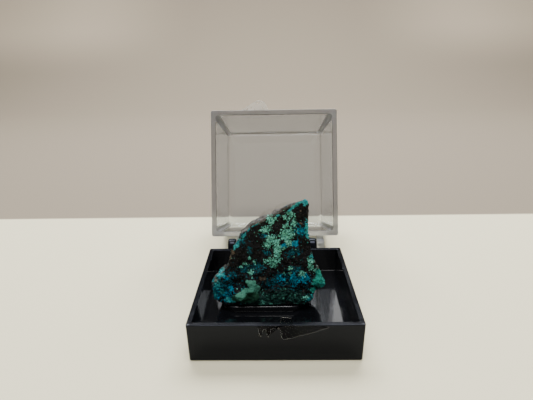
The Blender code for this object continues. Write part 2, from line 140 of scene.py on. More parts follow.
# Patches of crust, and of painted shade, on the face, by kind: x and z of the middle, half sizes, and turn in
# degrees
CRUST = {
    "mint": (
        (-4.8, 8.4, 0.8, 0.7, 0), (-5.6, 8.8, 0.4, 0.3, 0), (-4.2, 7.2, 1, 1, 20), (-5.6, 6.4, 1.6, 1, 25),
        (-7.5, 5.5, 1.5, 0.8, 28), (-4.4, 5.9, 1, 0.8, -10), (-6, 5, 1.6, 0.7, 0),
    ),
    # Painted shade: dark patches in the hollow low on the pale lump
    "hollow_shade": (
        (-5, 6.2, 1.15, 0.65, 15), (-5.9, 5.1, 1.5, 0.4, 8), (-6.1, 5.5, 0.8, 0.35, 20),
        (-3.8, 5.6, 0.8, 0.6, 0),
    ),
    "lace": (
        (-0.6, 20.9, 0.8, 0.75, 35), (-1.2, 21.4, 0.4, 0.4, 0), (0.2, 21.3, 0.3, 0.4, 0),
        (-1.8, 19.1, 1, 0.6, 10), (3.2, 22.3, 0.85, 0.4, -20), (2.1, 21.6, 0.35, 0.45, 0),
        (3, 21.4, 0.3, 0.3, 0), (2.6, 20.1, 0.25, 0.6, -10), (2, 19.7, 0.25, 0.4, 30),
        (3.3, 19.5, 0.3, 0.3, 0), (4, 20.5, 0.5, 0.8, 5), (2.6, 18.1, 1.35, 1.1, 0),
        (2.8, 16.4, 0.65, 0.55, 0), (1.8, 15.2, 0.45, 0.3, 0), (-0.7, 17.2, 0.95, 0.8, 20),
        (-1.6, 16, 0.8, 0.65, -15), (0.4, 16.7, 0.7, 0.6, 0), (0.6, 15.1, 0.8, 1, 10),
        (0.6, 13.9, 0.6, 0.6, 0), (-0.5, 12.7, 1.35, 0.8, 15), (-0.3, 11.9, 0.8, 0.5, 0),
        (5.6, 10, 0.65, 0.6, 0), (7.3, 12.7, 0.7, 0.7, 20), (7.4, 11.4, 0.5, 0.7, 30),
        (8.2, 10.7, 0.5, 0.35, 40), (3.2, 11.3, 0.45, 0.3, 0), (3.1, 10.3, 0.25, 0.35, 0),
        (1.8, 10.2, 0.25, 0.25, 0), (-5.15, 13.45, 0.35, 0.3, 0), (-4.15, 12.5, 0.2, 0.4, 30),
        (-5.95, 12.1, 0.5, 0.35, 0), (-6.9, 11.5, 0.3, 0.3, 0), (-4.9, 10.3, 0.55, 0.5, -30),
        (6.4, 5.2, 0.7, 0.35, 25), (1.8, 7, 0.3, 0.25, 0), (-2.6, 4.1, 0.35, 0.4, 20),
    ),
    "turquoise": (
        (6.35, 24.7, 0.6, 0.75, 0), (4.5, 24, 1.2, 0.24, 30), (3.1, 23, 0.8, 0.24, 36),
        (0.7, 21.8, 0.35, 0.25, 30), (-3.9, 20, 0.7, 0.12, 30), (-5.3, 19, 0.5, 0.14, 50),
        (-6.3, 17.8, 0.8, 0.18, 60), (-7.7, 16.1, 1.1, 0.34, 52), (-11.3, 9.9, 0.8, 0.5, 35),
        (-12.1, 8, 0.6, 0.8, 0), (-12.6, 5.6, 0.4, 1, 0), (-11, 6.6, 0.5, 0.45, 30),
        (-9.4, 4.6, 0.9, 0.4, -20), (7.6, 13.4, 0.4, 0.6, -20), (6.75, 19, 0.4, 1.7, 0),
        (6.9, 4.8, 0.8, 0.6, 20), (8.9, 10.8, 0.35, 0.9, 0),
    ),
    "jade": (
        (9, 8.3, 1.1, 1.1, -30), (9.9, 7.6, 0.8, 0.5, 0), (8.9, 9.8, 0.45, 1, 0), (7.9, 6.6, 0.6, 0.5, 0),
    ),
    "teal": (
        (-10.9, 7.6, 2.2, 2.8, 0), (5.4, 18.8, 1.7, 1.1, -10), (3.9, 9, 1.7, 1.7, 10), (1.3, 9, 1.5, 1, 0),
        (4.2, 10.6, 1.4, 0.9, 0), (-3.8, 11.2, 1.5, 1, 0), (-6.2, 11, 1.5, 0.7, 10),
        (-5.1, 14.9, 0.35, 1.2, 0), (-6.7, 17, 0.9, 0.7, 50), (-0.5, 8.2, 1.6, 1, 0),
        (3.7, 14.4, 1.3, 0.7, 20), (-2.2, 17.8, 0.8, 0.4, 0), (-1.7, 14.4, 0.6, 0.6, 0),
        (-9.3, 9.5, 1.3, 0.7, 20), (2.6, 24.6, 1, 0.5, 30),
    ),
    "blue": (
        (1.9, 15.8, 0.75, 0.45, 0), (4.1, 16.2, 0.7, 0.6, 10), (6.2, 8.9, 1, 0.9, 0), (4, 8.7, 0.6, 1.2, 0),
        (1.1, 9, 0.7, 0.6, 0), (5.5, 18.9, 1.2, 0.6, 0), (-12, 6.2, 1, 1.5, 0), (-10.2, 5.6, 1.1, 0.9, 0),
        (-9.2, 6.6, 0.5, 1, 0), (-10, 9.6, 0.8, 0.5, 0), (-1.9, 17.9, 0.5, 0.3, 0),
    ),
    "murk": (
        (-0.8, 4.9, 3.6, 1.2, 0), (2.6, 5.6, 2.8, 1.3, 0), (-3, 4.2, 3, 0.9, 0), (4.6, 4.8, 1.6, 1, 0),
    ),
    "tan": (
        (-9.3, 13.5, 0.35, 0.5, -20), (-8.6, 14.6, 0.3, 0.45, 10), (-11, 10.5, 0.45, 0.28, 35),
        (-12.3, 8.9, 0.3, 0.4, 0), (-9.7, 9.7, 0.3, 0.2, 0), (-2.6, 9.1, 0.7, 0.4, 10),
        (8.9, 11.4, 0.28, 0.4, 0), (5.3, 20.4, 0.5, 0.11, -30), (5.3, 22.9, 0.16, 0.12, 0),
    ),
}

# How each crust frays: the level where it starts, how soft its edge is, how far noise moves it, its most
CRUST_EDGES = {
    "flecks": (0.62, 0.03, 1.5, 1.0),
    "murk": (0.42, 0.16, 1.1, 1.0),
    "teal": (0.5, 0.05, 1.9, 1.0),
    "blue": (0.5, 0.06, 1.6, 1.0),
    "turquoise": (0.47, 0.05, 1.3, 1.0),
    "jade": (0.42, 0.08, 0.7, 1.0),
    "tan": (0.5, 0.07, 1.2, 0.8),
    "lace": (0.63, 0.04, 1.6, 1.0),
    "mint": (0.44, 0.05, 0.45, 1.0),
    # The painted shade in the lump's hollow has a soft edge
    "hollow_shade": (0.45, 0.14, 0.8, 1.0),
}

# The stone's upper left edge as (x, z), below which a band of the rock is grey
RIDGE = (
    (-7.2, 17.2), (-6.0, 18.9), (-4.7, 20.3), (-2.3, 21.3), (-0.1, 22.4), (2.8, 24.0), (5.3, 24.8),
    (6.3, 25.0),
)
RIDGE_BAND = 0.62
RIDGE_SOFTNESS = 0.15
RIDGE_LEFT = (-5.4, -4.2)
RIDGE_RIGHT = (5.6, 4.2)
RIDGE_STEP = 0.3
GREY_DEPTHS = (0.5, 1.0)
# Painted top light: where the grey turns paler on skin that faces up, high on the stone
TOP_LIGHT_SLOPES = (0.15, 0.65)
TOP_LIGHT_HEIGHTS = (13.0, 17.0)

# The skin's relief: the facets are shares of the settings, the rest is in millimetres
FACET_TILT = 1.6
FACET_STEP = 0.9
SMALL_FACET_SIZE = 0.4
SMALL_FACET_DEPTH = 0.6
GRAIN_SIZE = 0.3
GRAIN_DEPTH = 0.07
PIT_SIZE = 1.1
PIT_DEPTH = 0.8
PIT_START = 0.25
CALM_ABOVE = 17.0
PAST_SOLID = 0.25

# Torn tape, each outline as (x, z)
FRONT_TAPE_OUTLINE = (
    (0.95, 9.3), (1.3, 9.38), (2.1, 9.25), (2.85, 9.32), (2.9, 7.75), (4.6, 7.72), (6.6, 7.74),
    (9.6, 7.7), (9.2, 7.1), (7.4, 6.4), (5.6, 5.85), (3.6, 5.25), (2.2, 4.82), (1.5, 4.78),
    (1.05, 5.1), (0.92, 6.6), (0.55, 7.05), (-0.2, 7.12), (-0.75, 7.0), (-0.95, 5.9), (-1.2, 5.3),
    (-1.5, 5.75), (-1.75, 6.9), (-2.05, 6.95), (-2.3, 5.8), (-2.55, 5.25), (-2.85, 5.7),
    (-3.05, 7.0), (-3.4, 7.55), (-2.2, 7.72), (0.9, 7.74),
)
LID_TAPE_OUTLINE = (
    (-8.4, 0.45), (-5.0, 0.4), (-1.2, 0.45), (-1.05, 2.4), (-1.3, 3.7), (-2.0, 4.3), (-2.6, 5.15),
    (-3.5, 4.9), (-4.6, 4.35), (-5.5, 4.5), (-6.6, 5.35), (-7.6, 4.8), (-8.15, 3.9), (-8.3, 2.0),
)
LID_FLAP_OUTLINE = (
    (-8.4, 0.0), (-1.4, 0.0), (-1.8, 1.2), (-2.3, 2.1), (-3.1, 2.45), (-4.1, 2.62),
)
FLAP_TILT = radians(82)
FLAP_ROOT_HEIGHT = 0.6
TORN_WIDTH = 0.09
FLAP_TORN_WIDTH = 0.14
HAZE_FADE = 1.3
FRONT_HAZE = 0.3
LID_HAZE = 0.8
CLEAN_CUT_REACH = 0.2
MITRE_LIMIT = 1.6
NARROWEST_MITRE = 0.3

# The stage, in metres: each light's place, what it faces and its size
LIGHTS = {
    "overhead": ((0, -0.10, 0.55), (0, 0, 0), (0.27, 0.27)),
    "behind": ((0, 0.34, 0.46), (0, 0.02, 0), (0.55, 0.3)),
    "backdrop_wash": ((0, 0.30, 0.42), (0, 0.67, 0.06), (0.8, 0.12)),
    "window": ((0.039, 0.20, 0.131), (0.012, 0, 0.002), (0.027, 0.03)),
}
FLOOR_REACH = 2.0
CURVE_START = 0.30
CURVE_RADIUS = 0.35
CURVE_DEGREES = 75
CURVE_STEPS = 40
TABLE_END = (0.057, 0.0585)
BACKDROP_FAR = 0.42
CORNER_ACROSS = (0.10, 0.28)
CORNER_HEIGHT = (0.03, 0.09)
ROOM_COLOUR = (1.0, 0.98, 0.95, 1.0)
SENSOR_WIDTH = 36.0


# Settings that a user would change


def length_property(name, description, millimetres, precision=5):
    return FloatProperty(
        name=name, description=description, default=millimetres * MM, unit="LENGTH", precision=precision
    )


def colour_property(name, description, default):
    return FloatVectorProperty(
        name=name, description=description, default=default, subtype="COLOR", size=3, min=0, max=1
    )


def power_property(name, description, default):
    return FloatProperty(name=name, description=description, default=default, unit="POWER")


def angle_property(name, description, degrees):
    return FloatProperty(name=name, description=description, default=radians(degrees), subtype="ANGLE")


class BoxSettings(PropertyGroup):
    """Sizes and finishes of the display box."""

    tray_wall: length_property("Tray wall", "Thickness of the tray's walls", 1.0)
    tray_floor: length_property("Tray floor", "Height of the tray's inner floor", 2.05)
    lid_depth: length_property("Lid depth", "Outer depth of the clear lid", 27.6)
    lid_wall: length_property("Lid wall", "Thickness of the lid's walls", 1.2)
    tray_colour: colour_property("Tray colour", "Colour of the black plastic", (0.0035, 0.0038, 0.005))
    lid_colour: colour_property("Lid colour", "Tint of the clear plastic", (0.59, 0.625, 0.67))
    # The rim's darker tint is painted shade for the wall seen end-on
    rim_shade_colour: colour_property(
        "Rim colour", "Tint of the clear plastic at its matt rim", (0.43, 0.44, 0.49)
    )
    lid_ior: FloatProperty(
        name="Lid refraction", description="Index of refraction of the clear plastic", default=1.59,
        min=1, max=2.5,
    )
    tape_thickness: length_property("Tape thickness", "Thickness of the torn tape", 0.07, 6)


class StoneSettings(PropertyGroup):
    """Grain and colours of the stone."""

    grain: length_property("Mesh grain", "Voxel size of the stone's skin", 0.15, 6)
    facet_size: length_property("Facet size", "Size of the larger broken facets", 1.3)
    facet_depth: length_property("Facet depth", "How far the larger facets lift and sink", 0.2)
    rock_colour: colour_property("Rock", "Colour of the dark rock", (0.0035, 0.0036, 0.004))
    mint_colour: colour_property("Mint", "Colour of the pale green crust", (0.06, 0.22, 0.155))
    turquoise_colour: colour_property(
        "Turquoise", "Colour of the bright crust along the edges", (0.006, 0.16, 0.18)
    )
    teal_colour: colour_property("Teal", "Colour of the deep crust", (0.003, 0.078, 0.096))
    blue_colour: colour_property("Blue", "Colour of the bluest crust", (0.004, 0.13, 0.19))
    jade_colour: colour_property(
        "Jade", "Colour of the greenish crust at the right corner", (0.012, 0.22, 0.155)
    )
    seed: IntProperty(name="Seed", description="Shifts the noise of the relief", default=3)


class StageSettings(PropertyGroup):
    """Camera, lights and floor."""

    camera_place: FloatVectorProperty(
        name="Camera", description="Where the camera stands", default=(0.34 * MM, -81.27 * MM, 53.17 * MM),
        subtype="TRANSLATION", size=3, precision=5,
    )
    lens: FloatProperty(
        name="Lens", description="Focal length on a 36 mm wide sensor", default=29.28, unit="CAMERA"
    )
    pitch: angle_property("Pitch", "How far the camera looks down", 18.73)
    yaw: angle_property("Yaw", "How far the camera turns to its left", 1.30)
    roll: angle_property("Roll", "How far the camera leans", -1.06)
    floor_colour: colour_property("Floor", "Colour of the pale floor", (0.79, 0.735, 0.52))
    backdrop_colour: colour_property("Backdrop", "Colour of the backdrop", (0.205, 0.172, 0.128))
    # Painted light on the backdrop's near part and upper corners
    backdrop_near_painted_light: FloatProperty(
        name="Near backdrop", description="How light the backdrop's near part is against its far part",
        default=1.2, min=0,
    )
    backdrop_corner_painted_light: FloatProperty(
        name="Backdrop corners", description="How light the upper corners are against the far part",
        default=1.65, min=0,
    )
    overhead_power: power_property("Overhead light", "Power of the soft light above", 3.0)
    back_power: power_property("Back light", "Power of the soft light behind and above", 6.5)
    wash_power: power_property("Backdrop light", "Power of the light on the backdrop", 2.0)
    window_power: power_property(
        "Window light", "Power of the small light that the tray's floor mirrors", 0.0055
    )
    room_front: FloatProperty(
        name="Room in front", description="Light of the room on the camera's side", default=0.45, min=0
    )
    room_back: FloatProperty(
        name="Room behind", description="Light of the room behind the box", default=0.04, min=0
    )


# Helpers


def new_piece(name, mesh):
    obj = bpy.data.objects.new(name, mesh)
    bpy.context.scene.collection.objects.link(obj)
    return obj


def from_bmesh(name, bm):
    bmesh.ops.recalc_face_normals(bm, faces=bm.faces)
    mesh = bpy.data.meshes.new(name)
    bm.to_mesh(mesh)
    bm.free()
    return new_piece(name, mesh)


def apply_modifiers(obj):
    """Makes what the modifiers show the object's own mesh."""
    depsgraph = bpy.context.evaluated_depsgraph_get()
    mesh = bpy.data.meshes.new_from_object(obj.evaluated_get(depsgraph))
    obj.modifiers.clear()
    obj.data = mesh
    return obj


def join_shape(obj, other, operation):
    """Cuts other from obj, or joins it to obj, and removes it."""
    modifier = obj.modifiers.new("shape", "BOOLEAN")
    modifier.object = other
    modifier.operation = operation
    modifier.solver = "EXACT"
    apply_modifiers(obj)
    bpy.data.objects.remove(other)


def put_in_order(obj):
    """Sorts the points and faces, whose order would otherwise differ from one run to the next."""
    mesh = obj.data
    order = sorted(range(len(mesh.vertices)), key=lambda i: tuple(mesh.vertices[i].co))
    new_index = {old: new for new, old in enumerate(order)}
    faces = []
    for face in mesh.polygons:
        corners = [new_index[i] for i in face.vertices]
        first = corners.index(min(corners))
        faces.append(corners[first:] + corners[:first])
    obj.data = bpy.data.meshes.new(mesh.name)
    obj.data.from_pydata([mesh.vertices[i].co for i in order], [], sorted(faces))


def shade(obj, sharp_degrees=SHARP_DEGREES):
    """Smooth shading between sharp edges, with large faces kept flat."""
    obj.data.shade_smooth()
    obj.data.set_sharp_from_angle(angle=radians(sharp_degrees))
    for face in obj.data.polygons:
        if face.area > FLAT_AREA:
            face.use_smooth = False


def finished(obj, body, slot, material, *replaced):
    """Sets a piece, built in millimetres, in the frame with its material, and hides the frame's parts it
    replaces.
    """
    obj.data.transform(Matrix.Scale(MM, 4))
    obj.data.materials.clear()
    obj.data.materials.append(material)
    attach(obj, body)
    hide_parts(*replaced)


def block(low, high):
    bm = bmesh.new()
    bmesh.ops.create_cube(bm, size=1.0)
    low, high = Vector(low), Vector(high)
    bmesh.ops.scale(bm, vec=high - low, verts=bm.verts)
    bmesh.ops.translate(bm, vec=(low + high) / 2, verts=bm.verts)
    return bm


def rod_x(centre, radius, length, segments=64):
    """A closed cylinder along X about its middle."""
    bm = bmesh.new()
    place = Matrix.Translation(centre) @ Matrix.Rotation(pi / 2, 4, "Y")
    bmesh.ops.create_cone(
        bm, cap_ends=True, segments=segments, radius1=radius, radius2=radius, depth=length, matrix=place
    )
    return bm


def round_edges(bm, edges, radius, segments):
    bmesh.ops.bevel(
        bm, geom=edges, offset=radius, segments=segments, profile=0.5, affect="EDGES", clamp_overlap=True
    )


def cap_edges(bm):
    """The edges round the two flat ends of a rod along X."""
    return [e for e in bm.edges if abs(e.verts[0].co.x - e.verts[1].co.x) < NEAR]


def at_height(items, height):
    """The edges or faces that lie at that height."""
    return [item for item in items if all(abs(v.co.z - height) < NEAR for v in item.verts)]


def join_rings(bm, rings):
    """Faces between each ring of vertices and the next."""
    for first, second in zip(rings, rings[1:]):
        for i in range(len(first)):
            j = (i + 1) % len(first)
            bm.faces.new((first[i], first[j], second[j], second[i]))


def add_tapered_block(bm, half_low, half_high, low, high, corner_radius, foot_radius):
    """Adds a square block about Z with those half widths at its ends, and a rounded foot and corners."""
    made = bmesh.ops.create_cube(bm, size=2.0)["verts"]
    for vert in made:
        half, height = (half_low, low) if vert.co.z < 0 else (half_high, high)
        vert.co = Vector((vert.co.x * half, vert.co.y * half, height))
    uprights = [
        e for e in bm.edges if e.verts[0] in made and abs(e.verts[0].co.z - e.verts[1].co.z) > NEAR
    ]
    round_edges(bm, uprights, corner_radius, 8)
    round_edges(bm, at_height(bm.edges, low), foot_radius, 6)


def open_box(side, height, draft, wall, floor_top, corners, feet):
    """A square box, open on top, whose floor end is narrower by draft on each side.

    corners and feet are its radii at the uprights and round the floor, outside and then inside.
    """
    bm = bmesh.new()
    inner_floor = side / 2 - wall - draft * (1 - floor_top / height)
    add_tapered_block(bm, side / 2 - draft, side / 2, 0, height, corners[0], feet[0])
    outside = set(bm.faces)
    add_tapered_block(bm, inner_floor, side / 2 - wall, floor_top, height, corners[1], feet[1])
    bmesh.ops.reverse_faces(bm, faces=[face for face in bm.faces if face not in outside])
    rim = at_height(bm.edges, height)
    bmesh.ops.delete(bm, geom=at_height(bm.faces, height), context="FACES_ONLY")
    bmesh.ops.bridge_loops(bm, edges=rim)
    bmesh.ops.recalc_face_normals(bm, faces=bm.faces)
    round_edges(bm, rim, RIM_EDGE, 3)
    return bm


# Materials


def new_material(name):
    """A material with its tree and its Principled shader."""
    material = bpy.data.materials.new(name)
    material.use_nodes = True
    tree = material.node_tree
    return material, tree, tree.nodes["Principled BSDF"]


def give(tree, node, inputs):
    """Gives the node's inputs, by name or place, a value or a link each."""
    for name, value in inputs.items():
        if isinstance(value, bpy.types.NodeSocket):
            tree.links.new(value, node.inputs[name])
        else:
            node.inputs[name].default_value = value


def add_node(tree, kind, inputs=None, **settings):
    node = tree.nodes.new(kind)
    for name, value in settings.items():
        setattr(node, name, value)
    give(tree, node, inputs or {})
    return node


def object_place(tree, scale=(1, 1, 1)):
    """Object coordinates, stretched by scale."""
    coordinates = add_node(tree, "ShaderNodeTexCoord")
    mapping = add_node(tree, "ShaderNodeMapping", {"Vector": coordinates.outputs["Object"], "Scale": scale})
    return mapping.outputs["Vector"]


def noise_at(tree, place, size, detail=4.0, roughness=0.55, distortion=0.0):
    """Noise whose blobs are about size across."""
    inputs = {
        "Vector": place, "Scale": 1 / size, "Detail": detail,
        "Roughness": roughness, "Distortion": distortion,
    }
    return add_node(tree, "ShaderNodeTexNoise", inputs).outputs["Fac"]


def cells_at(tree, place, size, feature="F1"):
    inputs = {"Vector": place, "Scale": 1 / size}
    return add_node(tree, "ShaderNodeTexVoronoi", inputs, feature=feature).outputs["Distance"]


def math_node(tree, operation, first, second=0.0):
    node = add_node(tree, "ShaderNodeMath", {0: first, 1: second}, operation=operation)
    return node.outputs["Value"]


def weighted(tree, value, weight, other):
    """value times weight, plus other."""
    return math_node(tree, "ADD", math_node(tree, "MULTIPLY", value, weight), other)


def remap(tree, value, low, high, to_low=0.0, to_high=1.0):
    """value between low and high, eased to between to_low and to_high."""
    inputs = {"Value": value, "From Min": low, "From Max": high, "To Min": to_low, "To Max": to_high}
    return add_node(tree, "ShaderNodeMapRange", inputs, interpolation_type="SMOOTHSTEP").outputs["Result"]


def blend_colour(tree, share, first, second):
    colours = [
        value if isinstance(value, bpy.types.NodeSocket) else (*value[:3], 1.0) for value in (first, second)
    ]
    inputs = {0: share, 6: colours[0], 7: colours[1]}
    return add_node(tree, "ShaderNodeMix", inputs, data_type="RGBA").outputs[2]


def tinted(tree, colour, *tints):
    """The colour under tints, each given by its noise, where that starts and is full, its most and itself."""
    for value, low, high, most, tint in tints:
        colour = blend_colour(tree, remap(tree, value, low, high, 0, most), colour, tint)
    return colour


def attribute(tree, name):
    return add_node(tree, "ShaderNodeAttribute", attribute_name=name).outputs["Fac"]


def add_bump(tree, shader, height, distance, strength=1.0):
    inputs = {"Height": height, "Distance": distance, "Strength": strength}
    give(tree, shader, {"Normal": add_node(tree, "ShaderNodeBump", inputs).outputs["Normal"]})


def crust_share(tree, kind, edge_noise):
    """How much of that crust shows: its field on the mesh, frayed by noise."""
    level, softness, reach, most = CRUST_EDGES[kind]
    frayed = weighted(tree, math_node(tree, "SUBTRACT", edge_noise, 0.5), reach, attribute(tree, kind))
    return remap(tree, frayed, level - softness, level + softness, 0, most)


def grain_at(tree, place, size):
    """A value of its own for each grain of about that size."""
    cells = add_node(tree, "ShaderNodeTexVoronoi", {"Vector": place, "Scale": 1 / size})
    split = add_node(tree, "ShaderNodeSeparateColor", {"Color": cells.outputs["Color"]})
    return split.outputs["Red"]


def stone_material(settings):
    """Dark granular rock, with chrysocolla and malachite crusts where the mesh's fields say."""
    material, tree, shader = new_material("chrysocolla_and_rock")
    place = object_place(tree)
    fine = noise_at(tree, place, 0.4 * MM, 5, 0.65)
    tiny = noise_at(tree, place, 0.17 * MM, 3)
    broad = noise_at(tree, place, 1.6 * MM, 4)
    grain = grain_at(tree, place, 0.34 * MM)
    small_grain = grain_at(tree, place, 0.2 * MM)
    cells = cells_at(tree, place, 0.42 * MM)
    curls = cells_at(tree, place, 0.62 * MM, "DISTANCE_TO_EDGE")
    petals = cells_at(tree, place, 0.55 * MM, "DISTANCE_TO_EDGE")
    speckle = weighted(tree, fine, 0.6, math_node(tree, "MULTIPLY", grain, 0.4))
    curled = weighted(tree, curls, 0.8, fine)

    # Bare rock, with light grains, and grey along its edge and behind the face, paler as painted top light
    # where it faces up
    rock = tinted(
        tree, settings.rock_colour,
        (fine, 0.46, 0.72, 1, (0.0085, 0.0078, 0.0077)),
        (small_grain, 0.88, 0.92, 0.5, (0.035, 0.032, 0.03)),
    )
    grey = tinted(tree, (0.05, 0.043, 0.038), (small_grain, 0.2, 0.8, 1, (0.13, 0.122, 0.112)))
    patchy = remap(tree, fine, 0.34, 0.58, 0.35, 1.0)
    grey_and_top_light = math_node(tree, "MULTIPLY", attribute(tree, "grey_and_top_light"), patchy)
    colour = blend_colour(tree, grey_and_top_light, rock, grey)

    # The blue and green crusts, each with its own grains and shades
    murk = tinted(
        tree, (0.003, 0.014, 0.013),
        (small_grain, 0.4, 0.9, 1, (0.014, 0.06, 0.045)),
        (grain, 0.9, 0.95, 1, (0.04, 0.15, 0.11)),
    )
    teal = tinted(
        tree, (0.003, 0.038, 0.048),
        (grain, 0.3, 0.8, 1, settings.teal_colour),
        (small_grain, 0.6, 0.8, 1, settings.blue_colour),
        (small_grain, 0.86, 0.93, 1, settings.turquoise_colour),
        (tiny, 0.58, 0.45, 1, (0.002, 0.012, 0.016)),
    )
    blue = tinted(
        tree, settings.blue_colour,
        (grain, 0.3, 0.8, 1, (0.007, 0.235, 0.36)),
        (tiny, 0.52, 0.42, 0.85, (0.002, 0.045, 0.065)),
    )
    turquoise = tinted(
        tree, settings.turquoise_colour,
        (grain, 0.3, 0.9, 1, (0.03, 0.27, 0.26)),
        (small_grain, 0.35, 0.2, 1, settings.teal_colour),
    )
    jade = tinted(
        tree, (0.008, 0.16, 0.135),
        (broad, 0.35, 0.65, 1, settings.jade_colour),
        (fine, 0.5, 0.7, 1, (0.04, 0.3, 0.21)),
    )

    # Pale rosettes, cut into petals by dark lines, and the thick pale lump with painted shade darkening its
    # foot
    lace = tinted(
        tree, (0.06, 0.25, 0.185),
        (small_grain, 0.1, 0.7, 1, (0.15, 0.52, 0.4)),
        (weighted(tree, tiny, 0.12, petals), 0.155, 0.095, 1, (0.006, 0.035, 0.03)),
    )
    split = add_node(tree, "ShaderNodeSeparateXYZ", {"Vector": place})
    # Painted shade: the lump runs from dark green low down to mint higher up
    height = weighted(tree, broad, 1.6 * MM, split.outputs["Z"])
    lump = tinted(
        tree, (0.03, 0.12, 0.075),
        (height, 5.4 * MM, 7.4 * MM, 1, settings.mint_colour),
        (fine, 0.55, 0.75, 0.6, (0.16, 0.36, 0.27)),
        (fine, 0.44, 0.32, 0.7, (0.014, 0.06, 0.036)),
    )
    # Painted shade, dark olive, over the hollow low on the lump
    lump = blend_colour(tree, crust_share(tree, "hollow_shade", fine), lump, (0.009, 0.038, 0.021))

    # The deeper crusts come first, and the rosettes and the lump last
    layers = {
        "flecks": settings.teal_colour, "murk": murk, "teal": teal, "blue": blue,
        "turquoise": turquoise, "jade": jade, "tan": (0.085, 0.066, 0.046),
    }
    for kind, tint in layers.items():
        colour = blend_colour(tree, crust_share(tree, kind, speckle), colour, tint)
    colour = blend_colour(tree, crust_share(tree, "lace", curled), colour, lace)
    mint = crust_share(tree, "mint", fine)
    colour = blend_colour(tree, mint, colour, lump)
    roughness = remap(tree, speckle, 0.3, 0.7, 0.5, 0.85)
    give(tree, shader, {"Base Color": colour, "Roughness": roughness, "Specular IOR Level": 0.11})
    crumbs = weighted(tree, cells, -0.7, fine)
    ease = weighted(tree, mint, -0.4, 1.0)
    add_bump(tree, shader, math_node(tree, "MULTIPLY", crumbs, ease), 0.14 * MM)
    return material


def tray_outside_material(settings):
    """Black plastic with a soft sheen: the tray's outer walls, rims and lugs."""
    material, tree, shader = new_material("black_styrene")
    grain = noise_at(tree, object_place(tree), 0.25 * MM, 2)
    wear = noise_at(tree, object_place(tree, (0.25, 1.0, 1.0)), 1.5 * MM, 4)
    sheen = weighted(tree, grain, 0.35, math_node(tree, "MULTIPLY", wear, 0.65))
    give(tree, shader, {
        "Base Color": (*settings.tray_colour, 1.0),
        "Roughness": remap(tree, sheen, 0.35, 0.65, 0.1, 0.18),
        "Specular IOR Level": 0.16,
        "Specular Tint": (0.7, 0.77, 1.0, 1.0),
    })
    add_bump(tree, shader, grain, 0.001 * MM, 0.5)
    return material


def tray_inside_material(settings):
    """The same plastic, glossier inside, with drawn-out scratches on the floor."""
    material, tree, shader = new_material("black_styrene_inside")
    streaks = noise_at(tree, object_place(tree, (1.0, 0.03, 1.0)), 0.25 * MM, 3)
    give(tree, shader, {
        "Base Color": (*settings.tray_colour, 1.0),
        "Roughness": remap(tree, streaks, 0.35, 0.7, 0.03, 0.13),
        "Specular IOR Level": 0.85,
    })
    add_bump(tree, shader, streaks, 0.003 * MM, 0.6)
    return material


def lid_material(settings):
    """Clear styrene with a faint grey tint and depth, a matt moulded rim tinted darker as painted shade, and
    slightly matt corners.
    """
    material, tree, shader = new_material("clear_styrene")
    smears = noise_at(tree, object_place(tree, (1.0, 1.0, 0.3)), 4 * MM, 5, 0.6, 0.5)
    handled = remap(tree, smears, 0.45, 0.75, 0.02, 0.07)
    # The rim and the upright corners, in the axes of the closed lid about the hinge's axis
    place = {"Vector": add_node(tree, "ShaderNodeTexCoord").outputs["Object"]}
    place.update(Location=AXIS * MM, Rotation=(-OPEN_ANGLE, 0, 0))
    closed = add_node(tree, "ShaderNodeMapping", place, vector_type="TEXTURE").outputs["Vector"]
    split = add_node(tree, "ShaderNodeSeparateXYZ", {"Vector": closed})
    rim = (RIM_ABOVE_AXIS + CLOSED_GAP) * MM
    on_rim = remap(tree, split.outputs["Z"], rim + 3 * RIM_EDGE * MM, rim + 2 * RIM_EDGE * MM)
    across = math_node(tree, "ABSOLUTE", split.outputs["X"])
    deep = math_node(tree, "ABSOLUTE", math_node(tree, "ADD", split.outputs["Y"], AXIS.y * MM))
    inside = (BOX_HALF - settings.lid_wall / MM) * MM
    outward = math_node(tree, "MINIMUM", across, deep)
    starts, full = (inside - reach * MM for reach in CORNER_HAZE)
    in_corner = remap(tree, outward, starts, full, 0, CORNER_MATT)
    matt = math_node(tree, "MAXIMUM", math_node(tree, "MULTIPLY", on_rim, RIM_MATT), in_corner)
    # Painted shade: the rim takes a darker, bluer tint than the rest of the lid
    tint = blend_colour(tree, on_rim, settings.lid_colour, settings.rim_shade_colour)
    give(tree, shader, {
        "Base Color": tint,
        "Roughness": math_node(tree, "MAXIMUM", handled, matt),
        "Transmission Weight": 1.0,
        "IOR": settings.lid_ior,
    })
    depth = add_node(tree, "ShaderNodeVolumeAbsorption", {"Color": (0.6, 0.6, 0.64, 1.0), "Density": 12.0})
    give(tree, tree.nodes["Material Output"], {"Volume": depth.outputs["Volume"]})
    return material


def putty_material():
    """Black putty with a skin that shines where it was pressed."""
    material, tree, shader = new_material("black_putty")
    grain = noise_at(tree, object_place(tree), 0.5 * MM, 4)
    colour = blend_colour(tree, grain, (0.003, 0.003, 0.004), (0.008, 0.008, 0.011))
    give(tree, shader, {"Base Color": colour, "Roughness": remap(tree, grain, 0.3, 0.7, 0.14, 0.3)})
    add_bump(tree, shader, grain, 0.03 * MM, 0.7)
    return material


def tape_material(name, tint):
    """Clear film that is white and hazy along its torn edge, partly real haze and partly painted highlight
    along the film's edge.
    """
    material, tree, shader = new_material(name)
    frayed = noise_at(tree, object_place(tree), 0.5 * MM, 3)
    # The whitened torn edge is partly real haze and partly a painted highlight where the film's edge catches
    # light
    torn = math_node(tree, "MULTIPLY", attribute(tree, "torn"), remap(tree, frayed, 0.3, 0.5, 0.5, 1.0))
    give(tree, shader, {
        "Base Color": blend_colour(tree, torn, tint, (0.8, 0.8, 0.79)),
        "Roughness": remap(tree, torn, 0.0, 1.0, 0.06, 0.4),
        "Transmission Weight": remap(tree, torn, 0.0, 1.0, 1.0, 0.72),
        "IOR": 1.05,
    })
    wrinkles = noise_at(tree, object_place(tree, (1.0, 1.0, 0.35)), 0.8 * MM, 3)
    add_bump(tree, shader, wrinkles, 0.02 * MM, 0.4)
    return material


